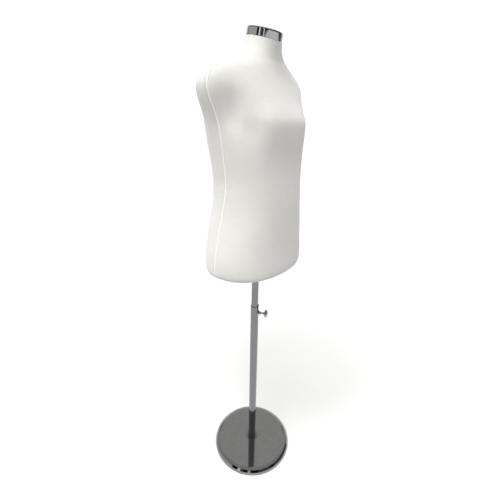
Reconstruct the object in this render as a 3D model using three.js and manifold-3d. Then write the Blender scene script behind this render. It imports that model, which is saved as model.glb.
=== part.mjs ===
// Armless display torso on a height-adjustable chrome stand.
// Millimetres, +Z up. The origin is on the floor under the middle of the base.
// The torso faces -Y, so its own right-hand side is at -X.
import * as THREE from "three";
import { mergeVertices } from "three/addons/utils/BufferGeometryUtils.js";
import Module from "manifold-3d";

const wasm = await Module();
wasm.setup();

// ---------------------------------------------------------------- dimensions
const GAP = 0.3; // clearance between neighbouring pieces
const OVERCUT = 5; // how far a bore's cutter runs past the piece
const ROUND = 32; // facets around the pole and the neck cap
const BASE_ROUND = 48; // facets around the base
const SMALL_ROUND = 12; // facets around screws

// base
const BASE_R = 152.5;
const BASE_TOP_Z = 21;
const BASE_FLAT_R = 134;
const SHELL_T = 1.5;
const LIP_Z = 1.6;
const WEIGHT_R = 118;
const WEIGHT_BOTTOM_Z = 5;
const FOOT_R = 13;
const FOOT_PITCH_R = 95;
const FOOT_COUNT = 4;
const BOLT_R = 4.7;
const BOLT_HOLE_R = 5.2;
const BOLT_HEAD_FLATS = 17;
const BOLT_HEAD_H = 6.4;
const RECESS_R = 14;
const RECESS_TOP_Z = 15.4;
const FLANGE_R = 25;
const FLANGE_T = 1.6;
const COLLAR_R = 16;
const COLLAR_H = 8;

// stand pole
const OUTER_R = 14;
const OUTER_WALL = 1;
const OUTER_TOP_Z = 657.5;
const INNER_R = 12;
const INNER_WALL = 1.2;
const INNER_BOTTOM_Z = 330;
const INNER_TOP_Z = 995;
const BUSH_LENGTH = 20;
const BUSH_DROP = 1; // from the lower tube's rim down to the bush
const BUSH_TAB = { width: 5, height: 5.5, depth: 2.3 };
const BUSH_NECK_H = 4; // the neck joins the sleeve to the tab across the rim
const PLUG_LENGTH = 40;

// thumb screw, on an axis square to the pole
const SCREW_Z = 629.5;
const SCREW_TURN = THREE.MathUtils.degToRad(-60); // the way it points, from +X round towards -Y
const STUD_R = 3;
const BOSS_START = 5; // this and the next three are distances from the pole's axis
const BOSS_END = 23.8;
const KNOB_START = 30;
const KNOB_END = 46;
const KNOB_R = 13.8;
const KNOB_SOLID = 5.6; // thickness of the head beyond the stud
const BOSS_GAP = 0.15; // between the boss and the tube
const TIP_LENGTH = 1.4;

// torso
const JERSEY_T = 1.5;
const BOARD_T = 9;
const BOARD_Z = 821;
const SOCKET_R = 14.4;
const SOCKET_PLATE_R = 38;
const SOCKET_PLATE_T = 3;
const PLATE_SCREW_R = 28;
const PLATE_SCREWS = 4;
const SEAM_R = 1.3;
const SEAM_HALF_GAP = 2.4;
const PANEL_STEPS = 16; // facets across one jersey panel

// neck cap, leaning forward with the neck
const CAP_LEAN = THREE.MathUtils.degToRad(13);
const CAP_R = 46.4;
const CAP_H = 19;
const CAP_T = 1.2;
const CAP_EDGE_R = 4;
const CAP_FOOT_Y = -10; // middle of the cap's lower rim
const CAP_FOOT_Z = 1438;

// Cross-sections of the torso from its turned-under bottom edge up to the neck.
// A section is a rounded oval. It may be tilted, so it has a height at the side
// seams, at the front and at the back; then the half width, the depth of the
// side seam, of the front and of the back, and how square the oval is.
const SECTIONS = [
  [817.6, 817.6, 817.6, 118, 12, -68, 70, 2.2],
  [817, 817, 817, 146, 12, -95, 95, 2.2],
  [820, 820, 820, 160, 13, -109, 109, 2.25],
  [829, 829, 829, 169, 14, -118, 118, 2.3],
  [846, 846, 846, 173, 14, -120, 121, 2.3],
  [876, 876, 876, 172, 12, -118, 122, 2.3],
  [915, 915, 915, 166, 10, -116, 121, 2.3],
  [960, 960, 960, 158, 7, -115, 117, 2.3],
  [1005, 1005, 1005, 149, 3, -114, 111, 2.3],
  [1045, 1045, 1045, 143.5, -2, -112, 108, 2.3],
  [1085, 1085, 1085, 141.5, -6, -109, 108, 2.3],
  [1125, 1125, 1125, 145, -7, -106, 110, 2.3],
  [1165, 1165, 1165, 150.5, -7, -105, 115, 2.3],
  [1203, 1203, 1203, 157, -7, -106, 120, 2.3],
  [1240, 1240, 1240, 162, -7, -106.5, 122, 2.3],
  [1275, 1270, 1280, 167, -7, -95, 121, 2.25],
  [1300, 1292, 1307, 169, -7, -83.5, 117, 2.2],
  [1323, 1313, 1333, 170.5, -7, -74, 111, 2.15],
  [1345, 1335, 1358, 167, -6, -64, 100, 2.05],
  [1364, 1355, 1382, 149, -5, -57, 84, 2],
  [1381, 1373, 1401, 112, -5, -52, 67, 2],
  [1398, 1388, 1415, 76, -8, -50, 50, 2],
  [1413, 1404, 1426, 55.5, -10, -52, 37, 2],
  [1437.5, 1427.1, 1447.9, 46.2, -10, -55, 35, 2],
];

// Soft swellings and hollows of the body, mirrored left and right:
// centre, reach along each axis, and how far the surface is pushed.
const SWELLINGS = [
  { at: [165, 20, 1314], reach: [42, 56, 52], push: [30, 6, 2] }, // arm stump
  { at: [158, -46, 1266], reach: [34, 32, 48], push: [-13, 9, 0] }, // hollow before the stump
  { at: [130, -84, 1230], reach: [32, 36, 44], push: [-3, 12, 0] }, // front of armpit
  { at: [148, 86, 1240], reach: [36, 38, 48], push: [-1, -2, 0] }, // back of armpit
  { at: [66, -112, 1236], reach: [62, 56, 54], push: [0, -6, 0] }, // chest
  { at: [0, -108, 1160], reach: [80, 60, 44], push: [0, 1.5, 0] }, // under the chest
  { at: [80, 120, 1270], reach: [60, 60, 80], push: [0, 6, 0] }, // shoulder blade
  { at: [0, 110, 1110], reach: [26, 60, 170], push: [0, -7, 0] }, // hollow of the back
];

// ------------------------------------------------------------------- helpers
const torsoStand = new THREE.Group();

function material(color, roughness, metalness) {
  return new THREE.MeshStandardMaterial({ color, roughness, metalness });
}
const chrome = () => material(0xb9bbbe, 0.12, 1);
const steel = () => material(0x8d9094, 0.4, 0.9);
const castIron = () => material(0x3a3b3d, 0.7, 0.7);
const rubber = () => material(0x1d1d1f, 0.85, 0);
const nylon = () => material(0x18181a, 0.6, 0);
const jersey = () => material(0xe9e6dd, 0.95, 0);
const seamCord = () => material(0xf4f2ec, 0.9, 0);
const foam = () => material(0xe8dcc0, 0.9, 0);
const plywood = () => material(0xb98f60, 0.65, 0);

function add(name, geometry, finish, parent = torsoStand) {
  const mesh = new THREE.Mesh(geometry, finish);
  mesh.name = name;
  parent.add(mesh);
  return mesh;
}

// A solid of revolution about +Z from [radius, height] points.
function turned(profile, segments = ROUND) {
  const points = profile.map(([r, z]) => new THREE.Vector2(r, z));
  return new THREE.LatheGeometry(points, segments).rotateX(Math.PI / 2);
}

function tube(outer, inner, z0, z1, segments = ROUND) {
  return turned([[inner, z0], [outer, z0], [outer, z1], [inner, z1], [inner, z0]], segments);
}

function rod(radius, z0, z1, segments = ROUND) {
  return turned([[0, z0], [radius, z0], [radius, z1], [0, z1]], segments);
}

function toSolid(geometry) {
  const bare = geometry.clone();
  bare.deleteAttribute("normal");
  bare.deleteAttribute("uv");
  const merged = mergeVertices(bare, 1e-4);
  return new wasm.Manifold(new wasm.Mesh({
    numProp: 3,
    vertProperties: new Float32Array(merged.attributes.position.array),
    triVerts: new Uint32Array(merged.index.array),
  }));
}

function toGeometry(solid) {
  const { vertProperties, triVerts } = solid.getMesh();
  const geometry = new THREE.BufferGeometry();
  geometry.setAttribute("position", new THREE.BufferAttribute(vertProperties, 3));
  geometry.setIndex(new THREE.BufferAttribute(triVerts, 1));
  geometry.computeVertexNormals();
  return geometry;
}

function cut(geometry, ...tools) {
  let solid = toSolid(geometry);
  for (const tool of tools) {
    solid = solid.subtract(toSolid(tool));
  }
  return toGeometry(solid);
}

// A closed mesh from vertices and quads, given as [a, b, c, d] around each face.
function fromQuads(points, quads) {
  const geometry = new THREE.BufferGeometry().setFromPoints(points);
  geometry.setIndex(quads.flatMap(([a, b, c, d]) => [a, b, c, a, c, d]));
  geometry.computeVertexNormals();
  return geometry;
}

// A solid through a stack of rings with the same number of points, closed with a
// fan at both ends. Seen from the last ring, each ring runs clockwise.
function loft(rings) {
  const around = rings[0].length;
  const points = rings.flat();
  const index = [];
  for (let i = 0; i + 1 < rings.length; i += 1) {
    for (let j = 0; j < around; j += 1) {
      const k = (j + 1) % around;
      const [a, b, c, d] = [i * around + j, i * around + k, (i + 1) * around + k, (i + 1) * around + j];
      index.push(a, c, b, a, d, c);
    }
  }
  for (const [ring, flip] of [[0, false], [rings.length - 1, true]]) {
    const middle = new THREE.Vector3();
    rings[ring].forEach((point) => middle.addScaledVector(point, 1 / around));
    points.push(middle);
    for (let j = 0; j < around; j += 1) {
      const here = ring * around + j;
      const next = ring * around + ((j + 1) % around);
      index.push(points.length - 1, ...(flip ? [next, here] : [here, next]));
    }
  }
  const geometry = new THREE.BufferGeometry().setFromPoints(points);
  geometry.setIndex(index);
  geometry.computeVertexNormals();
  return geometry;
}

// ---------------------------------------------------------------------- base
const shellUnder = BASE_TOP_Z - SHELL_T;
add("base_shell", turned([
  [BOLT_HOLE_R, shellUnder],
  [BASE_FLAT_R - 2, shellUnder],
  [142, 17.2],
  [148, 12.2],
  [BASE_R - SHELL_T, 5.5],
  [BASE_R - SHELL_T, LIP_Z],
  [BASE_R, LIP_Z],
  [BASE_R, 6],
  [151.4, 9.6],
  [148.8, 13.4],
  [144.6, 17.2],
  [139.6, 19.8],
  [BASE_FLAT_R, BASE_TOP_Z],
  [BOLT_HOLE_R, BASE_TOP_Z],
  [BOLT_HOLE_R, shellUnder],
], BASE_ROUND), chrome());

add("base_weight", turned([
  [RECESS_R, WEIGHT_BOTTOM_Z],
  [WEIGHT_R - 2, WEIGHT_BOTTOM_Z],
  [WEIGHT_R, WEIGHT_BOTTOM_Z + 2],
  [WEIGHT_R, shellUnder - GAP - 2],
  [WEIGHT_R - 2, shellUnder - GAP],
  [BOLT_HOLE_R, shellUnder - GAP],
  [BOLT_HOLE_R, RECESS_TOP_Z],
  [RECESS_R, RECESS_TOP_Z],
  [RECESS_R, WEIGHT_BOTTOM_Z],
], BASE_ROUND), castIron());

for (let i = 0; i < FOOT_COUNT; i += 1) {
  const angle = (Math.PI * 2 * (i + 0.5)) / FOOT_COUNT;
  const foot = add(`foot_pad_${i + 1}`, turned([
    [0, 0],
    [FOOT_R - 1, 0],
    [FOOT_R, 1],
    [FOOT_R, WEIGHT_BOTTOM_Z - GAP],
    [0, WEIGHT_BOTTOM_Z - GAP],
  ], SMALL_ROUND + 4), rubber());
  foot.position.set(FOOT_PITCH_R * Math.cos(angle), FOOT_PITCH_R * Math.sin(angle), 0);
}

const washerZ = RECESS_TOP_Z - GAP - 2;
const headTopZ = washerZ - GAP;
const flangeZ = BASE_TOP_Z + 0.2;
const poleFootZ = flangeZ + FLANGE_T + 0.2;
const plugR = OUTER_R - OUTER_WALL - GAP;
add("base_washer", tube(12, BOLT_HOLE_R, washerZ, RECESS_TOP_Z - GAP), steel());

const boltHead = new THREE.CylinderGeometry(
  BOLT_HEAD_FLATS / Math.sqrt(3), BOLT_HEAD_FLATS / Math.sqrt(3), BOLT_HEAD_H, 6,
).rotateX(Math.PI / 2).translate(0, 0, headTopZ - BOLT_HEAD_H / 2);
const boltShank = rod(BOLT_R, headTopZ - 1, poleFootZ + PLUG_LENGTH - 6, 24);
add("base_bolt", toGeometry(toSolid(boltHead).add(toSolid(boltShank))), steel());

add("pole_flange", turned([
  [BOLT_HOLE_R, flangeZ],
  [FLANGE_R, flangeZ],
  [FLANGE_R, flangeZ + FLANGE_T - 0.8],
  [FLANGE_R - 0.8, flangeZ + FLANGE_T],
  [BOLT_HOLE_R, flangeZ + FLANGE_T],
  [BOLT_HOLE_R, flangeZ],
]), chrome());
add("pole_collar", turned([
  [OUTER_R + GAP, poleFootZ],
  [COLLAR_R, poleFootZ],
  [COLLAR_R, poleFootZ + COLLAR_H - 1.2],
  [COLLAR_R - 0.9, poleFootZ + COLLAR_H],
  [OUTER_R + GAP, poleFootZ + COLLAR_H],
  [OUTER_R + GAP, poleFootZ],
]), chrome());
add("pole_foot_plug", tube(plugR, BOLT_R + GAP, poleFootZ, poleFootZ + PLUG_LENGTH), steel());

// ---------------------------------------------------------------- stand pole
// Local +Z of this group is the thumb screw's axis, pointing out from the pole.
const screwAxis = new THREE.Group();
screwAxis.position.set(0, 0, SCREW_Z);
screwAxis.rotation.set(0, Math.PI / 2, 0);
const screwPlace = new THREE.Group();
screwPlace.rotation.set(0, 0, SCREW_TURN);
screwPlace.add(screwAxis);
torsoStand.add(screwPlace);
torsoStand.updateMatrixWorld(true);
const alongScrew = (geometry) => geometry.applyMatrix4(screwAxis.matrixWorld);

const screwHole = () => alongScrew(rod(STUD_R + GAP, BOSS_START, BOSS_END + OVERCUT, SMALL_ROUND));

const outerTube = tube(OUTER_R, OUTER_R - OUTER_WALL, poleFootZ, OUTER_TOP_Z);
add("outer_pole", cut(outerTube, screwHole()), chrome());

// a thin bush inside the tube's mouth, held up by one tab that hooks over the rim
const bushSleeve = rod(plugR, OUTER_TOP_Z - BUSH_LENGTH, OUTER_TOP_Z - BUSH_DROP);
const bushNeck = new THREE.BoxGeometry(plugR, BUSH_TAB.width, BUSH_NECK_H)
  .translate(plugR / 2, 0, OUTER_TOP_Z)
  .rotateZ(SCREW_TURN);
const bushTab = new THREE.BoxGeometry(BUSH_TAB.depth, BUSH_TAB.width, BUSH_TAB.height)
  .translate(OUTER_R - BUSH_TAB.depth / 2, 0, OUTER_TOP_Z + GAP + BUSH_TAB.height / 2)
  .rotateZ(SCREW_TURN);
const bushSolid = toSolid(bushSleeve).add(toSolid(bushNeck)).add(toSolid(bushTab));
const bushBore = rod(
  INNER_R + GAP,
  OUTER_TOP_Z - BUSH_LENGTH - OVERCUT,
  OUTER_TOP_Z + GAP + BUSH_TAB.height + OVERCUT,
);
add("outer_pole_bush", cut(toGeometry(bushSolid), bushBore), nylon());

// the boss flares out from the stud's collar to the side of the tube
const bossCone = turned([
  [0, BOSS_START],
  [11.4, BOSS_START],
  [11.2, BOSS_START + 5],
  [8.8, BOSS_START + 9.3],
  [6.6, BOSS_END - 6.5],
  [5.4, BOSS_END - 3.5],
  [4.9, BOSS_END],
  [0, BOSS_END],
], 24);
add("screw_boss", cut(
  alongScrew(bossCone),
  rod(OUTER_R + BOSS_GAP, poleFootZ, OUTER_TOP_Z),
  screwHole(),
), chrome());

const tipEnd = INNER_R + GAP + TIP_LENGTH;
add("screw_tip", rod(STUD_R - 0.4, INNER_R + GAP, tipEnd, SMALL_ROUND), nylon(), screwAxis);
add("screw_stud", rod(STUD_R, tipEnd + 0.2, KNOB_END - KNOB_SOLID - 0.4, SMALL_ROUND), steel(), screwAxis);
add("screw_knob", turned([
  [STUD_R + GAP, KNOB_START],
  [4.8, KNOB_START],
  [5.8, KNOB_START + 2.4],
  [11.4, KNOB_START + 5],
  [KNOB_R, KNOB_START + 7],
  [KNOB_R, KNOB_START + 10.4],
  [12.2, KNOB_START + 12.6],
  [8, KNOB_END - 0.6],
  [0, KNOB_END],
  [0, KNOB_END - KNOB_SOLID],
  [STUD_R + GAP, KNOB_END - KNOB_SOLID],
  [STUD_R + GAP, KNOB_START],
], 24), chrome(), screwAxis);

add("inner_pole", tube(INNER_R, INNER_R - INNER_WALL, INNER_BOTTOM_Z, INNER_TOP_Z), chrome());
// a stepped plug that closes the moving pole's lower end and runs in the outer tube
const guideR = INNER_R - INNER_WALL - GAP;
add("inner_pole_guide", turned([
  [0, INNER_BOTTOM_Z - 12],
  [plugR, INNER_BOTTOM_Z - 12],
  [plugR, INNER_BOTTOM_Z - GAP],
  [guideR, INNER_BOTTOM_Z - GAP],
  [guideR, INNER_BOTTOM_Z + 15],
  [0, INNER_BOTTOM_Z + 15],
]), nylon());

// ------------------------------------------------------- torso: body surface
function powered(value, power) {
  return Math.sign(value) * Math.abs(value) ** power;
}

function bodyPoint(section, u) {
  const [zSide, zFront, zBack, halfWidth, ySide, yFront, yBack, square] = section;
  const across = powered(Math.cos(u), 2 / square);
  const deep = Math.abs(Math.sin(u)) ** (2 / square);
  const front = Math.sin(u) > 0;
  const point = new THREE.Vector3(
    halfWidth * across,
    ySide + ((front ? yFront : yBack) - ySide) * deep,
    zSide + ((front ? zFront : zBack) - zSide) * deep,
  );
  const shift = new THREE.Vector3();
  for (const { at, reach, push } of SWELLINGS) {
    for (const side of at[0] === 0 ? [1] : [1, -1]) {
      const dx = (point.x - side * at[0]) / reach[0];
      const dy = (point.y - at[1]) / reach[1];
      const dz = (point.z - at[2]) / reach[2];
      const strength = Math.exp(-(dx * dx + dy * dy + dz * dz));
      shift.add(new THREE.Vector3(side * push[0], push[1], push[2]).multiplyScalar(strength));
    }
  }
  return point.add(shift);
}

// The angles of a section's points: one at each side seam, and two runs between
// them that start and end a little way off the seam, where the panels' edges are.
function columnAngles(section) {
  const [, , , , ySide, yFront, yBack, square] = section;
  const angles = [];
  for (const [start, depth] of [[0, ySide - yFront], [Math.PI, yBack - ySide]]) {
    const edge = Math.asin((SEAM_HALF_GAP / depth) ** (square / 2));
    angles.push(start);
    for (let j = 0; j <= PANEL_STEPS; j += 1) {
      angles.push(start + edge + ((Math.PI - 2 * edge) * j) / PANEL_STEPS);
    }
  }
  return angles;
}

const body = SECTIONS.map((section) => columnAngles(section).map((u) => bodyPoint(section, u)));
const columns = body[0].length;

const outward = body.map((ring, i) => ring.map((point, j) => {
  const along = new THREE.Vector3().subVectors(ring[(j + 1) % columns], ring[(j + columns - 1) % columns]);
  const below = body[Math.max(i - 1, 0)][j];
  const above = body[Math.min(i + 1, body.length - 1)][j];
  return new THREE.Vector3().subVectors(above, below).cross(along).normalize();
}));

// A ring of the body surface, moved out by a distance.
function skin(i, distance) {
  return body[i].map((point, j) => point.clone().addScaledVector(outward[i][j], distance));
}

// ------------------------------------------------------- torso: jersey cover
function panel(firstColumn) {
  const rows = body.length;
  const across = PANEL_STEPS + 1;
  const points = [];
  for (const distance of [0, -JERSEY_T]) {
    for (let i = 0; i < rows; i += 1) {
      points.push(...skin(i, distance).slice(firstColumn, firstColumn + across));
    }
  }
  const at = (layer, i, j) => (layer * rows + i) * across + j;
  const quads = [];
  for (let i = 0; i + 1 < rows; i += 1) {
    for (let j = 0; j + 1 < across; j += 1) {
      quads.push([at(0, i, j), at(0, i + 1, j), at(0, i + 1, j + 1), at(0, i, j + 1)]);
      quads.push([at(1, i, j), at(1, i, j + 1), at(1, i + 1, j + 1), at(1, i + 1, j)]);
    }
    const end = across - 1;
    quads.push([at(1, i, 0), at(1, i + 1, 0), at(0, i + 1, 0), at(0, i, 0)]);
    quads.push([at(0, i, end), at(0, i + 1, end), at(1, i + 1, end), at(1, i, end)]);
  }
  const top = rows - 1;
  for (let j = 0; j + 1 < across; j += 1) {
    quads.push([at(0, 0, j), at(0, 0, j + 1), at(1, 0, j + 1), at(1, 0, j)]);
    quads.push([at(1, top, j), at(1, top, j + 1), at(0, top, j + 1), at(0, top, j)]);
  }
  return fromQuads(points, quads);
}
add("jersey_front", panel(1), jersey());
add("jersey_back", panel(PANEL_STEPS + 3), jersey());

function seam(column) {
  const rings = body.map((ring, i) => {
    const normal = outward[i][column];
    const below = body[Math.max(i - 1, 0)][column];
    const above = body[Math.min(i + 1, body.length - 1)][column];
    const side = new THREE.Vector3().subVectors(above, below).cross(normal).normalize();
    return [0, 1, 2, 3, 4, 5].map((k) => {
      const turn = (Math.PI * k) / 3;
      return ring[column].clone()
        .addScaledVector(normal, SEAM_R * Math.cos(turn) - 0.3)
        .addScaledVector(side, -SEAM_R * Math.sin(turn));
    });
  });
  return loft(rings);
}
add("seam_left", seam(0), seamCord());
add("seam_right", seam(PANEL_STEPS + 2), seamCord());

// ---------------------------------------------------- torso: core and fittings
const coreInset = -(JERSEY_T + GAP + 0.1);
const coreRings = body.map((ring, i) => skin(i, coreInset));
// the neck goes on up inside the cap
const capAxis = new THREE.Vector3(0, -Math.sin(CAP_LEAN), Math.cos(CAP_LEAN));
const spigotRise = CAP_H - CAP_T - 3;
coreRings.push(coreRings[coreRings.length - 1].map((point) => (
  point.clone().addScaledVector(capAxis, spigotRise)
)));

// The board's outline follows the torso's bottom section.
function boardOutline(margin) {
  const [, , , halfWidth, ySide, yFront, yBack, square] = SECTIONS[0];
  const outline = [];
  for (let j = 0; j < 32; j += 1) {
    const u = (Math.PI * 2 * j) / 32;
    const deep = Math.abs(Math.sin(u)) ** (2 / square);
    const reach = Math.sin(u) > 0 ? yFront + margin - ySide : yBack - margin - ySide;
    outline.push(new THREE.Vector2(
      (halfWidth - margin) * powered(Math.cos(u), 2 / square),
      ySide + reach * deep,
    ));
  }
  return new THREE.Shape(outline);
}
function slab(outline, z0, thickness) {
  const settings = { depth: thickness, bevelEnabled: false };
  return new THREE.ExtrudeGeometry(outline, settings).translate(0, 0, z0);
}

const socketTopZ = INNER_TOP_Z + GAP + 3;
add("torso_core", cut(
  loft(coreRings),
  slab(boardOutline(3), 800, BOARD_Z + BOARD_T + GAP - 800),
  rod(SOCKET_R + GAP, 800, socketTopZ + GAP),
), foam());

const plateZ = BOARD_Z - GAP - SOCKET_PLATE_T;
const plateScrews = [];
for (let i = 0; i < PLATE_SCREWS; i += 1) {
  const angle = (Math.PI * 2 * (i + 0.5)) / PLATE_SCREWS;
  plateScrews.push([PLATE_SCREW_R * Math.cos(angle), PLATE_SCREW_R * Math.sin(angle)]);
}
const screwHoles = () => plateScrews.map(([x, y]) => (
  rod(2.4, plateZ - 5, BOARD_Z + BOARD_T + 5, SMALL_ROUND).translate(x, y, 0)
));
add("bottom_board", cut(
  slab(boardOutline(4), BOARD_Z, BOARD_T),
  rod(SOCKET_R + GAP, BOARD_Z - 5, BOARD_Z + BOARD_T + 5),
  ...screwHoles(),
), plywood());
add("pole_socket", cut(turned([
  [INNER_R + GAP, plateZ],
  [SOCKET_PLATE_R - 0.8, plateZ],
  [SOCKET_PLATE_R, plateZ + 0.8],
  [SOCKET_PLATE_R, plateZ + SOCKET_PLATE_T],
  [SOCKET_R, plateZ + SOCKET_PLATE_T],
  [SOCKET_R, socketTopZ],
  [0, socketTopZ],
  [0, socketTopZ - 3],
  [INNER_R + GAP, socketTopZ - 3],
  [INNER_R + GAP, plateZ],
]), ...screwHoles()), steel());
plateScrews.forEach(([x, y], i) => {
  const screw = add(`socket_screw_${i + 1}`, turned([
    [0, plateZ - GAP - 2],
    [2.4, plateZ - GAP - 2],
    [4, plateZ - GAP - 1],
    [4, plateZ - GAP],
    [2, plateZ - GAP],
    [2, BOARD_Z + BOARD_T - 4],
    [0, BOARD_Z + BOARD_T - 1],
  ], SMALL_ROUND), steel());
  screw.position.set(x, y, 0);
});

// ------------------------------------------------------------------ neck cap
const capPlace = new THREE.Group();
capPlace.position.set(0, CAP_FOOT_Y, CAP_FOOT_Z);
capPlace.rotation.set(CAP_LEAN, 0, 0);
torsoStand.add(capPlace);
const capInner = CAP_R - CAP_T;
add("neck_cap", turned([
  [0, CAP_H - CAP_T],
  [capInner - CAP_EDGE_R, CAP_H - CAP_T],
  [capInner - 0.9, CAP_H - CAP_T - 1.6],
  [capInner, CAP_H - CAP_EDGE_R],
  [capInner, 0],
  [CAP_R, 0],
  [CAP_R, CAP_H - CAP_EDGE_R],
  [CAP_R - 1.2, CAP_H - 1.2],
  [CAP_R - CAP_EDGE_R, CAP_H],
  [0, CAP_H],
]), chrome(), capPlace);

export default torsoStand;
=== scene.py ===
"""Looks for the armless jersey torso on its height-adjustable chrome stand."""
import math

import bmesh
import bpy
import numpy as np
from mathutils import Matrix, Vector


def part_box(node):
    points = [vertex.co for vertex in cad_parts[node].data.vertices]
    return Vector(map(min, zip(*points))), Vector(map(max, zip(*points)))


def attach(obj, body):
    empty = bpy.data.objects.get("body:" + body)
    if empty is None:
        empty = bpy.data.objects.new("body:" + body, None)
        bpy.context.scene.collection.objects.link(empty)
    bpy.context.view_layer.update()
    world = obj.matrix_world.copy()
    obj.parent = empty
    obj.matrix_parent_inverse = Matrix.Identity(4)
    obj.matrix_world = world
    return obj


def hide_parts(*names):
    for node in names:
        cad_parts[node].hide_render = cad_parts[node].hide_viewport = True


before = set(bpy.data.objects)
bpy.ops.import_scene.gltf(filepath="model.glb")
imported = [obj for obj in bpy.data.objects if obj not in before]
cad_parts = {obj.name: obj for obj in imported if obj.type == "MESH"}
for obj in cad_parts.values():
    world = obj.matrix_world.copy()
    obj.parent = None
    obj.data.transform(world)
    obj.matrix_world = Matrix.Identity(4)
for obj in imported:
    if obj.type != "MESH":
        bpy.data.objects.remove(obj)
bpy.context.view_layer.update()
scene = bpy.context.scene
MM = 0.001

# ------------------------------------------------------------------ camera
CAMERA_AZIMUTH = math.radians(-52.0)
CAMERA_DISTANCE = 0.9025  # level distance from the pole
CAMERA_HEIGHT = 1.2201
CAMERA_DOWN = math.radians(21.474)
CAMERA_TURN = math.radians(-1.225)
CAMERA_ROLL = math.radians(0.846)
LENS_MM = 21.6


def make_camera():
    a = CAMERA_AZIMUTH
    to_pole = Vector((-math.sin(a), math.cos(a), 0))
    right = Vector((math.cos(a), math.sin(a), 0))
    level = to_pole * math.cos(CAMERA_TURN) + right * math.sin(CAMERA_TURN)
    side = right * math.cos(CAMERA_TURN) - to_pole * math.sin(CAMERA_TURN)
    ahead = level * math.cos(CAMERA_DOWN) - Vector((0, 0, math.sin(CAMERA_DOWN)))
    up = side.cross(ahead)
    x_axis = side * math.cos(CAMERA_ROLL) + up * math.sin(CAMERA_ROLL)
    y_axis = up * math.cos(CAMERA_ROLL) - side * math.sin(CAMERA_ROLL)
    data = bpy.data.cameras.new("camera")
    data.lens = LENS_MM
    data.sensor_width = 36
    data.clip_start = 0.02
    camera = bpy.data.objects.new("camera", data)
    scene.collection.objects.link(camera)
    rotation = Matrix((x_axis, y_axis, -ahead)).transposed().to_4x4()
    place = Vector((CAMERA_DISTANCE * math.sin(a), -CAMERA_DISTANCE * math.cos(a), CAMERA_HEIGHT))
    camera.matrix_world = Matrix.Translation(place) @ rotation
    scene.camera = camera


# --------------------------------------------------------------- materials
class Shader:
    """A Principled material with a short way to add nodes."""

    def __init__(self, name):
        self.material = bpy.data.materials.new(name)
        self.material.use_nodes = True
        self.tree = self.material.node_tree
        self.surface = self.tree.nodes["Principled BSDF"]

    def node(self, kind, settings=None, **inputs):
        made = self.tree.nodes.new(kind)
        for key, value in (settings or {}).items():
            setattr(made, key, value)
        for key, value in inputs.items():
            self.set(made.inputs[key], value)
        return made

    def set(self, socket, value):
        if isinstance(value, bpy.types.NodeSocket):
            self.tree.links.new(value, socket)
        else:
            socket.default_value = value

    def surface_inputs(self, **inputs):
        for key, value in inputs.items():
            self.set(self.surface.inputs[key.replace("_", " ")], value)

    def math(self, operation, a, b=0.0):
        made = self.node("ShaderNodeMath", {"operation": operation})
        self.set(made.inputs[0], a)
        self.set(made.inputs[1], b)
        return made.outputs[0]

    def stretched(self, place, scale):
        return self.node("ShaderNodeMapping", Vector=place, Scale=scale).outputs[0]

    def coords(self, scale=(1, 1, 1)):
        return self.stretched(self.node("ShaderNodeTexCoord").outputs["Object"], scale)

    def noise(self, vector, scale, detail=4.0, rough=0.5):
        made = self.node("ShaderNodeTexNoise", Vector=vector, Scale=scale, Detail=detail, Roughness=rough)
        return made.outputs["Fac"]

    def ramp(self, fac, low, high, out_low, out_high):
        made = self.node("ShaderNodeMapRange", Value=fac)
        for key, value in zip(("From Min", "From Max", "To Min", "To Max"), (low, high, out_low, out_high)):
            self.set(made.inputs[key], value)
        return made.outputs[0]

    def mix(self, fac, a, b):
        made = self.node("ShaderNodeMix", {"data_type": "RGBA"})
        self.set(made.inputs[0], fac)
        self.set(made.inputs[6], (*a, 1) if isinstance(a, tuple) else a)
        self.set(made.inputs[7], (*b, 1) if isinstance(b, tuple) else b)
        return made.outputs[2]

    def bump(self, height, strength, distance, normal=None):
        made = self.node("ShaderNodeBump", Height=height, Strength=strength, Distance=distance)
        if normal is not None:
            self.set(made.inputs["Normal"], normal)
        return made.outputs[0]


def chrome(name, streaks, tone, haze=0.05):
    """Polished plating: streaks stretches its faint polishing lines; haze is the dulling
    of its few smudges."""
    s = Shader(name)
    lines = s.noise(s.coords(streaks), 1.0, 3)
    smudge = s.noise(s.coords(), 22.0, 5, 0.6)
    specks = s.noise(s.coords(), 900.0, 2)
    rough = s.math("ADD", s.ramp(lines, 0.3, 0.7, 0.05, 0.10), s.ramp(smudge, 0.45, 0.7, 0.0, haze))
    darker = tuple(0.9 * c for c in tone)
    colour = s.mix(s.ramp(s.math("ADD", smudge, lines), 0.8, 1.25, 0, 1), tone, darker)
    height = s.math("ADD", s.math("MULTIPLY", lines, 0.7), s.math("MULTIPLY", specks, 0.3))
    s.surface_inputs(Base_Color=colour, Metallic=1.0, Roughness=rough, Normal=s.bump(height, 0.06, 0.0003))
    return s.material


def steel(name):
    """Plain zinc-plated steel with a grain and dull patches."""
    s = Shader(name)
    grain = s.noise(s.coords((900, 900, 60)), 1.0, 4)
    patch = s.noise(s.coords(), 60.0, 4)
    colour = s.mix(s.ramp(patch, 0.35, 0.7, 0, 1), (0.42, 0.43, 0.44), (0.28, 0.28, 0.27))
    rough = s.math("ADD", s.ramp(grain, 0.3, 0.7, 0.28, 0.4), s.ramp(patch, 0.5, 0.8, 0, 0.15))
    s.surface_inputs(Base_Color=colour, Metallic=1.0, Roughness=rough, Normal=s.bump(grain, 0.2, 0.0002))
    return s.material


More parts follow.
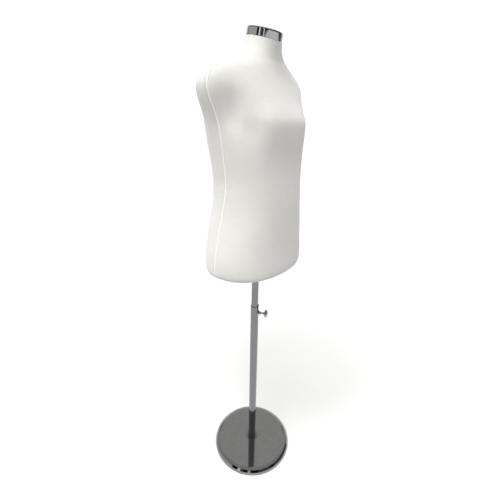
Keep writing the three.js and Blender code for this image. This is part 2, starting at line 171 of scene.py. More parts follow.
def cast_iron():
    s = Shader("cast_iron")
    sand = s.noise(s.coords(), 700.0, 6, 0.65)
    lump = s.noise(s.coords(), 45.0, 4)
    rust = s.ramp(s.math("MULTIPLY", sand, lump), 0.3, 0.42, 0, 0.7)
    colour = s.mix(rust, (0.035, 0.036, 0.038), (0.11, 0.055, 0.03))
    s.surface_inputs(
        Base_Color=colour, Metallic=0.35, Roughness=s.ramp(sand, 0.3, 0.7, 0.6, 0.9),
        Normal=s.bump(s.math("ADD", sand, s.math("MULTIPLY", lump, 1.5)), 0.5, 0.0008),
    )
    return s.material


def rubber():
    s = Shader("rubber")
    fine = s.noise(s.coords(), 1500.0, 3)
    dust = s.ramp(s.noise(s.coords(), 90.0, 5), 0.5, 0.75, 0, 0.5)
    s.surface_inputs(
        Base_Color=s.mix(dust, (0.018, 0.018, 0.019), (0.10, 0.095, 0.09)),
        Roughness=s.ramp(fine, 0.3, 0.7, 0.65, 0.9), Normal=s.bump(fine, 0.3, 0.0003),
    )
    return s.material


def nylon():
    s = Shader("nylon")
    fine = s.noise(s.coords(), 2200.0, 3)
    flow = s.noise(s.coords((300, 300, 40)), 1.0, 3)
    s.surface_inputs(
        Base_Color=s.mix(flow, (0.010, 0.010, 0.011), (0.028, 0.028, 0.030)),
        Roughness=s.ramp(fine, 0.3, 0.7, 0.42, 0.6), Normal=s.bump(fine, 0.25, 0.0002),
    )
    return s.material


def foam():
    s = Shader("foam")
    cells = s.node("ShaderNodeTexVoronoi", Vector=s.coords(), Scale=420.0).outputs[0]
    wide = s.noise(s.coords(), 30.0, 4)
    s.surface_inputs(
        Base_Color=s.mix(wide, (0.74, 0.66, 0.47), (0.62, 0.53, 0.36)),
        Roughness=0.95, Normal=s.bump(cells, 0.5, 0.0008),
    )
    return s.material


def plywood():
    """Sanded board: long grain with darker veins and open pores."""
    s = Shader("plywood")
    warp = s.noise(s.coords((3, 26, 26)), 1.0, 4)
    rings = s.node(
        "ShaderNodeTexWave", {"wave_type": "BANDS", "bands_direction": "Y"},
        Vector=s.coords((0.6, 9, 9)), Scale=3.2, Distortion=9.0, Detail=3.0,
    ).outputs["Fac"]
    pores = s.noise(s.coords((60, 1400, 1400)), 1.0, 3)
    grain = s.mix(s.math("MULTIPLY", rings, warp), (0.60, 0.42, 0.24), (0.33, 0.20, 0.10))
    colour = s.mix(s.ramp(pores, 0.58, 0.72, 0, 0.6), grain, (0.20, 0.12, 0.06))
    s.surface_inputs(
        Base_Color=colour, Roughness=s.ramp(pores, 0.3, 0.7, 0.55, 0.75),
        Normal=s.bump(s.math("SUBTRACT", rings, pores), 0.25, 0.0004),
    )
    return s.material


WALE = 1.1 * MM  # width of one column of knit loops
COURSE = 0.9 * MM  # height of one row of loops


def jersey(name, light=(0.57, 0.565, 0.545), dark=(0.50, 0.496, 0.48)):
    """Stretched single jersey: columns of V-shaped loops with painted shade in the valleys
    between them, slubs along the rows, a soft fuzz. Its coordinates are metres along the cloth."""
    s = Shader(name)
    cloth = s.node("ShaderNodeTexCoord").outputs["UV"]
    split = s.node("ShaderNodeSeparateXYZ", Vector=cloth)
    wobble = s.noise(s.stretched(cloth, (60, 60, 1)), 1.0, 2)
    x = s.math("ADD", s.math("DIVIDE", split.outputs[0], WALE), s.math("MULTIPLY", wobble, 0.8))
    y = s.math("ADD", s.math("DIVIDE", split.outputs[1], COURSE), s.math("MULTIPLY", wobble, 0.8))
    arm = s.math("ABSOLUTE", s.math("SUBTRACT", s.math("FRACT", x), 0.5))
    leg = s.math("SINE", s.math("MULTIPLY", s.math("ADD", y, s.math("MULTIPLY", arm, 1.1)), 2 * math.pi))
    column = s.math("COSINE", s.math("MULTIPLY", s.math("SUBTRACT", arm, 0.25), 4 * math.pi))
    loops = s.math("ADD", s.math("MULTIPLY", leg, 0.45), s.math("MULTIPLY", column, 0.55))
    slub = s.noise(s.stretched(cloth, (30, 430, 1)), 1.0, 4, 0.6)
    fuzz = s.noise(s.stretched(cloth, (2600, 2600, 1)), 1.0, 3)
    cloud = s.noise(s.coords(), 9.0, 3)
    shade = s.math("ADD", s.math("MULTIPLY", slub, 0.55), s.math("MULTIPLY", cloud, 0.45))
    body = s.mix(s.ramp(shade, 0.38, 0.64, 0, 0.75), light, dark)
    # painted shade: the cloth is darkened towards a darker tone in the low valleys between the knit loops
    painted_valley_shade = s.ramp(loops, -0.9, 0.2, 0.35, 0.0)
    colour = s.mix(painted_valley_shade, body, tuple(0.6 * c for c in dark))
    knit = s.bump(loops, 0.35, 0.00022)
    pile = s.bump(s.math("ADD", fuzz, s.math("MULTIPLY", slub, 2.0)), 0.35, 0.0003, knit)
    s.surface_inputs(
        Base_Color=colour, Roughness=s.ramp(fuzz, 0.3, 0.7, 0.84, 0.98), Normal=pile,
        Sheen_Weight=0.22, Sheen_Roughness=0.55, Specular_IOR_Level=0.2,
    )
    return s.material


def thread():
    """Twisted sewing thread."""
    s = Shader("seam_thread")
    twist = s.node(
        "ShaderNodeTexWave", {"wave_type": "BANDS", "bands_direction": "DIAGONAL"},
        Vector=s.coords((900, 900, 900)), Scale=0.8, Distortion=1.0,
    ).outputs["Fac"]
    s.surface_inputs(
        Base_Color=s.mix(twist, (0.70, 0.695, 0.675), (0.57, 0.56, 0.54)), Roughness=0.7,
        Normal=s.bump(twist, 0.4, 0.0002), Sheen_Weight=0.2, Sheen_Roughness=0.4,
    )
    return s.material


# ------------------------------------------------------------ mesh helpers
LATHE_SHARP = math.radians(32)  # edges that turn further than this look sharp
ON_AXIS = 1e-7


def build(name, points, faces, material, body, replaced=(), uvs=None):
    mesh = bpy.data.meshes.new(name)
    mesh.from_pydata([tuple(p) for p in points], [], faces)
    mesh.materials.append(material)
    if uvs is not None:
        layer = mesh.uv_layers.new(name="cloth")
        flat = np.array([uvs[k] for face in faces for k in face], dtype=np.float32)
        layer.data.foreach_set("uv", flat.ravel())
    mesh.update()
    mesh.shade_smooth()
    made = bpy.data.objects.new(name, mesh)
    scene.collection.objects.link(made)
    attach(made, body)
    if replaced:
        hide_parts(*replaced)
    return made


def rounded(profile, steps=5):
    """Profile points [radius, height, fillet] with each corner rounded to its fillet."""
    out = []
    count = len(profile)
    for i, (r, z, fillet) in enumerate(profile):
        here = Vector((r, z))
        if not fillet or i in (0, count - 1):
            out.append((r, z))
            continue
        back = Vector(profile[i - 1][:2]) - here
        ahead = Vector(profile[i + 1][:2]) - here
        half = back.angle(ahead) / 2
        cut = min(fillet / math.tan(half), back.length * 0.49, ahead.length * 0.49)
        a = here + back.normalized() * cut
        b = here + ahead.normalized() * cut
        for k in range(steps + 1):
            t = k / steps
            out.append(tuple(a * (1 - t) ** 2 + here * 2 * t * (1 - t) + b * t * t))
    return out


def lathe(name, profile, material, body, replaced=(), place=None, segments=128):
    """A turned piece from [radius, height, fillet] points in metres, closed if its
    ends meet and otherwise ending on the axis."""
    outline = rounded(profile)
    closed = (Vector(outline[0]) - Vector(outline[-1])).length < ON_AXIS
    if closed:
        outline = outline[:-1]
    points, faces = [], []
    starts = []
    for r, z in outline:
        starts.append((len(points), r < ON_AXIS))
        if r < ON_AXIS:
            points.append((0, 0, z))
        else:
            for k in range(segments):
                a = 2 * math.pi * k / segments
                points.append((r * math.cos(a), r * math.sin(a), z))
    following = starts[1:] + starts[:1] if closed else starts[1:]
    for (a, a_on_axis), (b, b_on_axis) in zip(starts, following):
        for k in range(segments):
            n = (k + 1) % segments
            if a_on_axis and b_on_axis:
                continue
            if a_on_axis:
                faces.append((a, b + n, b + k))
            elif b_on_axis:
                faces.append((a + k, a + n, b))
            else:
                faces.append((a + k, a + n, b + n, b + k))
    if place is not None:
        points = [place @ Vector(p) for p in points]
    made = build(name, points, faces, material, body, replaced)
    made.data.set_sharp_from_angle(angle=LATHE_SHARP)
    weighted = made.modifiers.new("weighted", "WEIGHTED_NORMAL")
    weighted.keep_sharp = True
    return made


def span(node):
    """Lowest and highest z of a CAD piece."""
    low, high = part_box(node)
    return low[2], high[2]


def radius(node):
    """Radius of a round upright CAD piece."""
    low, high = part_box(node)
    return (high[0] - low[0]) / 2


def middle_of(node):
    """A move to the vertical axis of a CAD piece."""
    low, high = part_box(node)
    return Matrix.Translation(((low[0] + high[0]) / 2, (low[1] + high[1]) / 2, 0))


def repaint(node, material):
    """Gives a CAD piece that stays in sight its material."""
    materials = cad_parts[node].data.materials
    materials.clear()
    materials.append(material)


# -------------------------------------------------------------------- base
SHELL_T = 1.5 * MM
BOLT_HOLE_R = 5.2 * MM
RECESS_R = 14 * MM  # room for the bolt's head under the weight
RECESS_DEPTH = 10.4 * MM
FOOT_COUNT = 4
FOOT_TIP_R = 4 * MM
COLLAR_BORE_R = 14.3 * MM


def make_base_cover(plating):
    z0, z1 = span("base_shell")
    R = radius("base_shell")
    lathe("base_disc", [
        (BOLT_HOLE_R, z1 - SHELL_T, 0), (R - 20.5 * MM, z1 - SHELL_T, 3 * MM),
        (R - 7.5 * MM, z0 + 13 * MM, 8 * MM), (R - SHELL_T, z0 + 5 * MM, 4 * MM), (R - SHELL_T, z0, 0),
        (R, z0, 0.4 * MM), (R, z0 + 3.4 * MM, 2 * MM), (R - 2.6 * MM, z0 + 9.6 * MM, 7 * MM),
        (R - 9.5 * MM, z1 - 2.6 * MM, 8 * MM), (R - 19 * MM, z1, 6 * MM), (BOLT_HOLE_R, z1, 0),
        (BOLT_HOLE_R, z1 - SHELL_T, 0),
    ], plating, "stand", ["base_shell"], segments=256)


def make_weight():
    z0, z1 = span("base_weight")
    R = radius("base_weight")
    ceiling = z0 + RECESS_DEPTH
    lathe("iron_weight", [
        (RECESS_R, z0, 0), (R, z0, 2 * MM), (R, z1, 2 * MM), (BOLT_HOLE_R, z1, 0), (BOLT_HOLE_R, ceiling, 0),
        (RECESS_R, ceiling, 1 * MM), (RECESS_R, z0, 0),
    ], cast_iron(), "stand", ["base_weight"], segments=160)


def make_feet():
    pad = rubber()
    for i in range(1, FOOT_COUNT + 1):
        node = f"foot_pad_{i}"
        z0, z1 = span(node)
        R = radius(node)
        lathe(f"rubber_foot_{i}", [
            (0, z0, 0), (FOOT_TIP_R, z0, 0), (R, z0, 1.4 * MM), (R, z1, 0.3 * MM), (0, z1, 0),
        ], pad, "stand", [node], middle_of(node), 64)


def make_ring(name, node, bore, fillets, material, segments=128):
    """A flat ring in place of a CAD piece, with the fillets of its outer lower, outer
    upper and inner upper corners."""
    z0, z1 = span(node)
    R = radius(node)
    outer_low, outer_high, inner_high = fillets
    lathe(name, [
        (bore, z0, 0), (R, z0, outer_low), (R, z1, outer_high), (bore, z1, inner_high), (bore, z0, 0),
    ], material, "stand", [node], segments=segments)


def make_pole_foot(plating, dull):
    make_ring("foot_flange", "pole_flange", BOLT_HOLE_R, (0.2 * MM, 0.9 * MM, 0), plating)
    make_ring("foot_collar", "pole_collar", COLLAR_BORE_R, (0.3 * MM, 1.3 * MM, 0.3 * MM), plating)
    make_ring("bolt_washer", "base_washer", BOLT_HOLE_R, (0.3 * MM, 0.3 * MM, 0), dull, 64)
    for node in ("base_bolt", "pole_foot_plug"):
        repaint(node, dull)


# ----------------------------------------------------------------- the pole
LOWER_TUBE_WALL = 1.0 * MM
UPPER_TUBE_WALL = 1.2 * MM
SCREW_WAY = Vector((math.cos(math.radians(-60)), math.sin(math.radians(-60)), 0))
SCREW_Z = 629.5 * MM
# distances along the thumb screw, from the pole's axis
BOSS_START = 10 * MM
BOSS_END = 23.8 * MM
STUD_START = 13.9 * MM
KNOB_LENGTH = 16 * MM
KNOB_SOLID = 6 * MM  # the head beyond the end of the stud
STUD_R = 3 * MM
BOSS_BORE_R = 3.4 * MM
KNOB_R = 13.8 * MM
THREAD_PITCH = 1.0 * MM
THREAD_DEPTH = 0.45 * MM


def make_tube(name, node, wall, rim, body, plating):
    z0, z1 = span(node)
    R = radius(node)
    bore = R - wall
    outer_rim, inner_rim = rim
    lathe(name, [
        (bore, z0, 0), (R, z0, 0.3 * MM), (R, z1, outer_rim), (bore, z1, inner_rim), (bore, z0, 0),
    ], plating, body, [node])


def make_pole(plating):
    make_tube("lower_tube", "outer_pole", LOWER_TUBE_WALL, (0.9 * MM, 0), "stand", plating)
    make_tube("upper_tube", "inner_pole", UPPER_TUBE_WALL, (0.4 * MM, 0.3 * MM), "mast", plating)
    black = nylon()
    for node in ("outer_pole_bush", "inner_pole_guide", "screw_tip"):
        repaint(node, black)
        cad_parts[node].data.set_sharp_from_angle(angle=math.radians(30))


def screw_place():
    side = Vector((0, 0, 1)).cross(SCREW_WAY)
    turn = Matrix((side, SCREW_WAY.cross(side), SCREW_WAY)).transposed().to_4x4()
    return Matrix.Translation((0, 0, SCREW_Z)) @ turn


def make_boss(plating):
    """The boss flares out to meet the round tube, so its foot follows the tube's curve."""
    tube_r = radius("outer_pole")
    boss = lathe("screw_boss_flare", [
        (BOSS_BORE_R, BOSS_START, 0), (11.6 * MM, BOSS_START, 0), (10.9 * MM, 12.6 * MM, 2 * MM),
        (7.0 * MM, 15.7 * MM, 5 * MM), (5.2 * MM, BOSS_END - 3 * MM, 4 * MM),
        (4.8 * MM, BOSS_END, 0.6 * MM), (BOSS_BORE_R, BOSS_END, 0.3 * MM), (BOSS_BORE_R, BOSS_START, 0),
    ], plating, "stand", ["screw_boss"], screw_place(), 96)
    for v in boss.data.vertices:
        short = tube_r + 0.05 * MM - math.hypot(v.co.x, v.co.y)
        if short > 0:
            v.co += SCREW_WAY * (short * tube_r / max(v.co.xy.dot(SCREW_WAY.xy), 1e-4) * 0.98)


def make_thumb_screw(plating):
    end = knob_reach()
    start = end - KNOB_LENGTH
    lathe("screw_head", [
        (3.3 * MM, start, 0), (4.8 * MM, start, 0.5 * MM), (5.8 * MM, end - 13.2 * MM, 2 * MM),
        (11.8 * MM, end - 10.6 * MM, 3 * MM), (KNOB_R, end - 8.4 * MM, 1.4 * MM),
        (KNOB_R, end - 5.2 * MM, 1.2 * MM), (11.8 * MM, end - 2.2 * MM, 3 * MM),
        (5.4 * MM, end - 0.3 * MM, 4 * MM), (0, end, 0),
    ], plating, "clamp_screw", ["screw_knob"], screw_place(), 96)
    lathe("screw_shank", thread_profile(STUD_R, STUD_START, end - KNOB_SOLID), plating,
          "clamp_screw", ["screw_stud"], screw_place(), 48)


def knob_reach():
    """How far the thumb screw's head reaches from the pole's axis."""
    low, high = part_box("screw_knob")
    middle = (low[0] + high[0]) / 2 / SCREW_WAY.x
    return middle + KNOB_LENGTH / 2


def thread_profile(r, start, end):
    """Outline of a stud with a fine thread, as rings that follow the pitch."""
    root = r - THREAD_DEPTH
    points = [(0, start, 0), (root, start, 0)]
    z = start
    while z + THREAD_PITCH < end:
        points.append((root, z + 0.1 * THREAD_PITCH, 0))
        points.append((r, z + 0.5 * THREAD_PITCH, 0))
        points.append((root, z + 0.9 * THREAD_PITCH, 0))
        z += THREAD_PITCH
    points.append((root, end, 0))
    points.append((0, end, 0))
    return points


# ----------------------------------------------------------- torso surface
# Cross-sections as in the CAD model, in millimetres: height at the side seams, at
# the front and at the back; half width; depth of the seams, front and back; squareness.
SECTIONS = [
    (817.6, 817.6, 817.6, 118, 12, -68, 70, 2.2),
    (817, 817, 817, 146, 12, -95, 95, 2.2),
    (820, 820, 820, 160, 13, -109, 109, 2.25),
    (829, 829, 829, 169, 14, -118, 118, 2.3),
    (846, 846, 846, 173, 14, -120, 121, 2.3),
    (876, 876, 876, 172, 12, -118, 122, 2.3),
    (915, 915, 915, 166, 10, -116, 121, 2.3),
    (960, 960, 960, 158, 7, -115, 117, 2.3),
    (1005, 1005, 1005, 149, 3, -114, 111, 2.3),
    (1045, 1045, 1045, 143.5, -2, -112, 108, 2.3),
    (1085, 1085, 1085, 141.5, -6, -109, 108, 2.3),
    (1125, 1125, 1125, 145, -7, -106, 110, 2.3),
    (1165, 1165, 1165, 150.5, -7, -105, 115, 2.3),
    (1203, 1203, 1203, 157, -7, -106, 120, 2.3),
    (1240, 1240, 1240, 162, -7, -106.5, 122, 2.3),
    (1275, 1270, 1280, 167, -7, -95, 121, 2.25),
    (1300, 1292, 1307, 169, -7, -83.5, 117, 2.2),
    (1323, 1313, 1333, 170.5, -7, -74, 111, 2.15),
    (1345, 1335, 1358, 167, -6, -64, 100, 2.05),
    (1364, 1355, 1382, 149, -5, -57, 84, 2),
    (1381, 1373, 1401, 112, -5, -52, 67, 2),
    (1398, 1388, 1415, 76, -8, -50, 50, 2),
    (1413, 1404, 1426, 55.5, -10, -52, 37, 2),
    (1437.5, 1427.1, 1447.9, 46.2, -10, -55, 35, 2),
]
# centre, reach and push of each soft swelling or hollow, mirrored left and right
SWELLINGS = [
    ((165, 20, 1314), (42, 56, 52), (30, 6, 2)),  # arm stump
    ((158, -46, 1266), (34, 32, 48), (-13, 9, 0)),  # hollow before the stump
    ((130, -84, 1230), (32, 36, 44), (-3, 12, 0)),  # front of armpit
    ((148, 86, 1240), (36, 38, 48), (-1, -2, 0)),  # back of armpit
    ((66, -112, 1236), (62, 56, 54), (0, -6, 0)),  # chest
    ((0, -108, 1160), (80, 60, 44), (0, 1.5, 0)),  # under the chest
    ((80, 120, 1270), (60, 60, 80), (0, 6, 0)),  # shoulder blade
    ((0, 110, 1110), (26, 60, 170), (0, -7, 0)),  # hollow of the back
]
HALF = 60  # cloth cells across the front panel, and across the back
ROWS = 84  # cloth cells from the turned-under edge to the neck
HEM_ROWS = 8  # rows of the rounded hem, which the smoothing leaves alone
SEAM_SAMPLES = 400
SEAM_CROWDING = 0.9  # how much closer the samples are near the seams, 0 to 1


def slopes(t, y):
    """Slopes for a smooth curve through y that never overshoots its points."""
    h = np.diff(t)
    d = np.diff(y, axis=0) / h[:, None]
    m = np.zeros_like(y)
    w1 = (2 * h[1:] + h[:-1])[:, None]
    w2 = (h[1:] + 2 * h[:-1])[:, None]
    same = d[:-1] * d[1:] > 0
    safe0 = np.where(same, d[:-1], 1)
    safe1 = np.where(same, d[1:], 1)
    m[1:-1] = np.where(same, (w1 + w2) / (w1 / safe0 + w2 / safe1), 0)
    m[0], m[-1] = d[0], d[-1]
    return m


def section_rows():
    """Sections at even steps of the way up the body, in millimetres, and their distance."""
    table = np.array(SECTIONS, dtype=float)
    marks = np.stack([
        np.stack([table[:, 3], table[:, 4], table[:, 0]], 1),
        np.stack([0 * table[:, 0], table[:, 5], table[:, 1]], 1),
        np.stack([0 * table[:, 0], table[:, 6], table[:, 2]], 1),
    ])
    steps = np.linalg.norm(np.diff(marks, axis=1), axis=2).mean(axis=0)
    t = np.concatenate([[0], np.cumsum(steps)])
    m = slopes(t, table)
    want = np.linspace(0, t[-1], ROWS + 1)
    k = np.clip(np.searchsorted(t, want, side="right") - 1, 0, len(t) - 2)
    h = (t[k + 1] - t[k])[:, None]
    x = ((want - t[k])[:, None]) / h
    out = (
        (2 * x**3 - 3 * x**2 + 1) * table[k] + (x**3 - 2 * x**2 + x) * h * m[k]
        + (3 * x**2 - 2 * x**3) * table[k + 1] + (x**3 - x**2) * h * m[k + 1]
    )
    return out, want


def ring(section, u):
    z_side, z_front, z_back, wide, y_side, y_front, y_back, square = section
    c, s = np.cos(u), np.sin(u)
    deep = np.abs(s) ** (2 / square)
    front = s > 0
    p = np.stack([
        wide * np.sign(c) * np.abs(c) ** (2 / square),
        y_side + (np.where(front, y_front, y_back) - y_side) * deep,
        z_side + (np.where(front, z_front, z_back) - z_side) * deep,
    ], axis=1)
    shift = np.zeros_like(p)
    for at, reach, push in SWELLINGS:
        for side in (1, -1) if at[0] else (1,):
            middle = np.array([side * at[0], at[1], at[2]])
            strength = np.exp(-np.sum(((p - middle) / np.array(reach)) ** 2, axis=1))
            shift += strength[:, None] * np.array([side * push[0], push[1], push[2]])
    return (p + shift) * MM


def body_grid():
    """Points of the body surface, ROWS + 1 by 2 * HALF, evenly spaced round each row.
    Column 0 is the left side seam and column HALF the right one; the front comes between."""
    sections, distance = section_rows()
    grid = []
    for section in sections:
        row = []
        for start in (0.0, math.pi):
            # closer samples near the seams, where a squarish oval turns fast
            w = np.linspace(0, 1, SEAM_SAMPLES)
            u = start + math.pi * (w - np.sin(2 * math.pi * w) / (2 * math.pi) * SEAM_CROWDING)
            p = ring(section, u)
            run = np.concatenate([[0], np.cumsum(np.linalg.norm(np.diff(p, axis=0), axis=1))])
            want = np.linspace(0, run[-1], HALF + 1)[:-1]
            row.append(np.stack([np.interp(want, run, p[:, k]) for k in range(3)], axis=1))
        grid.append(np.concatenate(row))
    grid = np.array(grid)
    h = HEM_ROWS
    for _ in range(3):  # evens out the joins between sections
        grid[h:-1] = 0.25 * grid[h - 1:-2] + 0.5 * grid[h:-1] + 0.25 * grid[h + 1:]
    return grid, distance * MM


def grid_normals(grid):
    along = np.roll(grid, -1, axis=1) - np.roll(grid, 1, axis=1)
    up = np.empty_like(grid)
    up[1:-1] = grid[2:] - grid[:-2]
    up[0], up[-1] = grid[1] - grid[0], grid[-1] - grid[-2]
    n = np.cross(up, along)
    return n / np.linalg.norm(n, axis=2, keepdims=True)


def tube_faces(rows, columns, first=0, reverse=False):
    """Quads between closed rings of points that are numbered from `first`."""
    faces = []
    for i in range(rows - 1):
        low, high = first + i * columns, first + (i + 1) * columns
        for j in range(columns):
            k = (j + 1) % columns
            if reverse:
                faces.append((low + j, low + k, high + k, high + j))
            else:
                faces.append((low + j, high + j, high + k, low + k))
    return faces


def capped_faces(rows, columns, first=0):
    """Quads between closed rings, and a flat face over each end."""
    last = first + (rows - 1) * columns
    return [
        *tube_faces(rows, columns, first, reverse=True),
        tuple(first + j for j in range(columns - 1, -1, -1)),
        tuple(last + j for j in range(columns)),
    ]


START_GAP = 2.0 * MM  # between the body and the cover as the simulation starts
FORMER_DEPTH = 1.4 * MM  # how far inside the body the solid that it shrinks on to lies
SHRINK_FRAMES = 20
PINNED_ROWS = (3, 2)  # at the hem and at the neck


def stretch_cover(grid, normals):
    """Cloth simulation: the sewn cover shrinks on to the body, and bridges its hollows."""
    rows, columns = grid.shape[:2]

    def temporary(name, points):
        mesh = bpy.data.meshes.new(name)
        mesh.from_pydata(points.reshape(-1, 3).tolist(), [], tube_faces(rows, columns))
        made = bpy.data.objects.new(name, mesh)
        scene.collection.objects.link(made)
        return made

    former = temporary("former", grid - normals * FORMER_DEPTH)
    former.modifiers.new("collision", "COLLISION")
    former.collision.thickness_outer = 0.8 * MM
    former.collision.thickness_inner = 20 * MM
    former.collision.cloth_friction = 12
    cloth = temporary("cloth", grid + normals * START_GAP)
    pins = cloth.vertex_groups.new(name="pins")
    low, high = PINNED_ROWS
    held = [*range(columns * low), *range(columns * (rows - high), columns * rows)]
    pins.add(held, 1.0, "REPLACE")
    modifier = cloth.modifiers.new("cloth", "CLOTH")
    settings = modifier.settings
    settings.quality = 6
    settings.mass = 0.15
    settings.tension_stiffness = settings.compression_stiffness = 22
    settings.shear_stiffness = 10
    settings.bending_stiffness = 0.4
    settings.tension_damping = settings.compression_damping = 12
    settings.air_damping = 4
    settings.shrink_min = 0.035
    settings.vertex_group_mass = "pins"
    settings.effector_weights.gravity = 0
    modifier.collision_settings.distance_min = 0.6 * MM
    modifier.collision_settings.use_self_collision = False
    modifier.point_cache.frame_start = 1
    modifier.point_cache.frame_end = SHRINK_FRAMES
    for number in range(1, SHRINK_FRAMES + 1):
        scene.frame_set(number)
    evaluated = cloth.evaluated_get(bpy.context.evaluated_depsgraph_get())
    result = np.empty(rows * columns * 3, dtype=np.float32)
    evaluated.data.vertices.foreach_get("co", result)
    result = result.reshape(rows, columns, 3).astype(float)
    for temporary_object in (cloth, former):
        mesh = temporary_object.data
        bpy.data.objects.remove(temporary_object)
        bpy.data.meshes.remove(mesh)
    scene.frame_set(1)
    return result


def finer(grid):
    """Catmull-Rom midpoints along both directions, doubling the grid."""
    def double(a, axis, closed):
        a = np.moveaxis(a, axis, 0)
        if closed:
            before, after, beyond = np.roll(a, 1, 0), np.roll(a, -1, 0), np.roll(a, -2, 0)
            middle = (9 * (a + after) - before - beyond) / 16
            out = np.empty((2 * len(a), *a.shape[1:]))
            out[0::2], out[1::2] = a, middle
        else:
            padded = np.concatenate([2 * a[:1] - a[1:2], a, 2 * a[-1:] - a[-2:-1]])
            middle = (9 * (padded[1:-2] + padded[2:-1]) - padded[:-3] - padded[3:]) / 16
            out = np.empty((2 * len(a) - 1, *a.shape[1:]))
            out[0::2], out[1::2] = a, middle
        return np.moveaxis(out, 0, axis)
    return double(double(grid, 0, False), 1, True)


def soften(field, passes):
    """Blurs a field of the grid, round each row and from row to row."""
    for _ in range(passes):
        field = 0.25 * np.roll(field, 1, axis=1) + 0.5 * field + 0.25 * np.roll(field, -1, axis=1)
        field[1:-1] = 0.25 * field[:-2] + 0.5 * field[1:-1] + 0.25 * field[2:]
    return field


BRIDGE_DEPTH = 2.6 * MM  # most that the cover stands away from a hollow
SINK_DEPTH = 0.3 * MM
BRIDGE_BLUR = 14


def fitted_cover(grid):
    """The cover on the body, on a grid twice as fine."""
    normals = grid_normals(grid)
    cover = stretch_cover(grid, normals)
    away = np.sum((cover - grid) * normals, axis=2)
    away = soften(np.clip(away - np.median(away), -SINK_DEPTH, BRIDGE_DEPTH), BRIDGE_BLUR)
    # the cover is flat under its turned-in hem and under the neck cap
    row = np.arange(len(grid))
    rise = np.clip((row - 4) / 8, 0, 1) * np.clip((len(grid) - 3 - row) / 6, 0, 1)
    return finer(grid + normals * (away * rise[:, None])[..., None])


def lengths_round(cover):
    """Length along the cloth from the left seam, round each row and back to the seam."""
    run = np.linalg.norm(np.roll(cover, -1, axis=1) - cover, axis=2)
    return np.concatenate([np.zeros((len(cover), 1)), np.cumsum(run, axis=1)], axis=1)


DRAW_DEPTH, DRAW_WIDTH = 0.9 * MM, 3.4 * MM  # the groove that the stitches pull in
LIFT_HEIGHT, LIFT_MIDDLE, LIFT_WIDTH = 0.5 * MM, 5 * MM, 3.2 * MM  # the allowance inside
PUCKER_HEIGHT, PUCKER_PITCH, PUCKER_WIDTH = 0.22 * MM, 7.3 * MM, 9 * MM
GATHER_HEIGHT, GATHER_PITCH, GATHER_ROWS = 0.9 * MM, 19 * MM, 12


def sewn_cover(cover, u, v):
    """Stitches draw the cloth in and pucker it beside each seam, the seam allowance
    lifts the back panel, and the hem gathers where it turns under."""
    rows, columns = cover.shape[:2]
    half = columns // 2
    normals = grid_normals(cover)
    to_left = np.minimum(u[:, :-1], u[:, -1:] - u[:, :-1])
    to_right = np.abs(u[:, :-1] - u[:, half:half + 1])
    to_seam = np.minimum(to_left, to_right)
    behind = np.arange(columns)[None, :] >= half
    draw = -DRAW_DEPTH * np.exp(-(to_seam / DRAW_WIDTH) ** 2)
    lift = LIFT_HEIGHT * np.exp(-((to_seam - LIFT_MIDDLE) / LIFT_WIDTH) ** 2) * behind
    wave = np.sin(2 * np.pi * v[:, None] / PUCKER_PITCH + 3 * np.sin(v[:, None] * 90))
    pucker = PUCKER_HEIGHT * wave * np.exp(-(to_seam / PUCKER_WIDTH) ** 2)
    under = np.clip(1 - np.arange(rows) / GATHER_ROWS, 0, 1)[:, None]
    folds = np.sin(u[:, :-1] / GATHER_PITCH * 2 * np.pi + 2.2 * np.sin(u[:, :-1] * 23))
    hem = 0.5 * GATHER_HEIGHT * under * (folds - 1)
    return cover + normals * (draw + lift + pucker + hem)[..., None], normals


CLOTH_T = 1.6 * MM
HEM_TURN = 3.5 * MM  # how far the hem turns up behind the board


def make_panel(name, node, first, cover, normals, u, v, cloth):
    """Half of the cover, from the seam at column `first` to the next. Its edges turn in."""
    rows, columns = cover.shape[:2]
    half = columns // 2
    used = [(first + k) % columns for k in range(half + 1)]
    points, uvs = [], []
    for i in range(rows):
        turned_in = [cover[i, c] - normals[i, c] * CLOTH_T for c in (used[0], used[-1])]
        points.extend([turned_in[0], *cover[i, used], turned_in[1]])
        along = u[i, first:first + half + 1]
        uvs.extend((a, v[i]) for a in (along[0] - CLOTH_T, *along, along[-1] + CLOTH_T))
    wide = half + 3
    faces = [
        (i * wide + j, (i + 1) * wide + j, (i + 1) * wide + j + 1, i * wide + j + 1)
        for i in range(rows - 1) for j in range(wide - 1)
    ]
    start = len(points)
    points.extend([Vector(p) + Vector((0, 0, HEM_TURN)) for p in points[:wide]])
    uvs.extend([(a, b - HEM_TURN) for a, b in uvs[:wide]])
    faces.extend((start + j, j, j + 1, start + j + 1) for j in range(wide - 1))
    made = build(name, points, faces, cloth, "torso", [node], uvs)


def make_torso():
    grid, distance = body_grid()
    cover = fitted_cover(grid)
    u = lengths_round(cover)
    v = np.interp(np.arange(len(cover)) / 2, np.arange(len(distance)), distance)
    cover, normals = sewn_cover(cover, u, v)
    cloths = jersey("jersey"), jersey("jersey_back")
    make_panel("cover_front", "jersey_front", 0, cover, normals, u, v, cloths[0])
    make_panel("cover_back", "jersey_back", 2 * HALF, cover, normals, u, v, cloths[1])
    make_seams(cover, normals)
    make_core(grid)


STITCH_PITCH = 3.4 * MM
STITCH_LENGTH = 2.5 * MM
STITCH_R = 0.32 * MM
STITCH_OFFSET = 6.6 * MM  # from the seam, on the back panel
STITCH_RISE = 1.45 * MM  # from the bottom of the seam's groove to the stitch's middle
STITCH_DIP = 0.75 * MM
STITCH_RINGS, STITCH_SIDES = 5, 6
FIRST_STITCH = 9 * MM
STITCH_MARGIN = 14 * MM  # left bare at the two ends together
SEAM_FINENESS = 4  # rings of the seam for each row of the cover
SEAM_HALF_WIDTH, SEAM_HEIGHT, SEAM_ROOT = 2.3 * MM, 2.1 * MM, 0.7 * MM


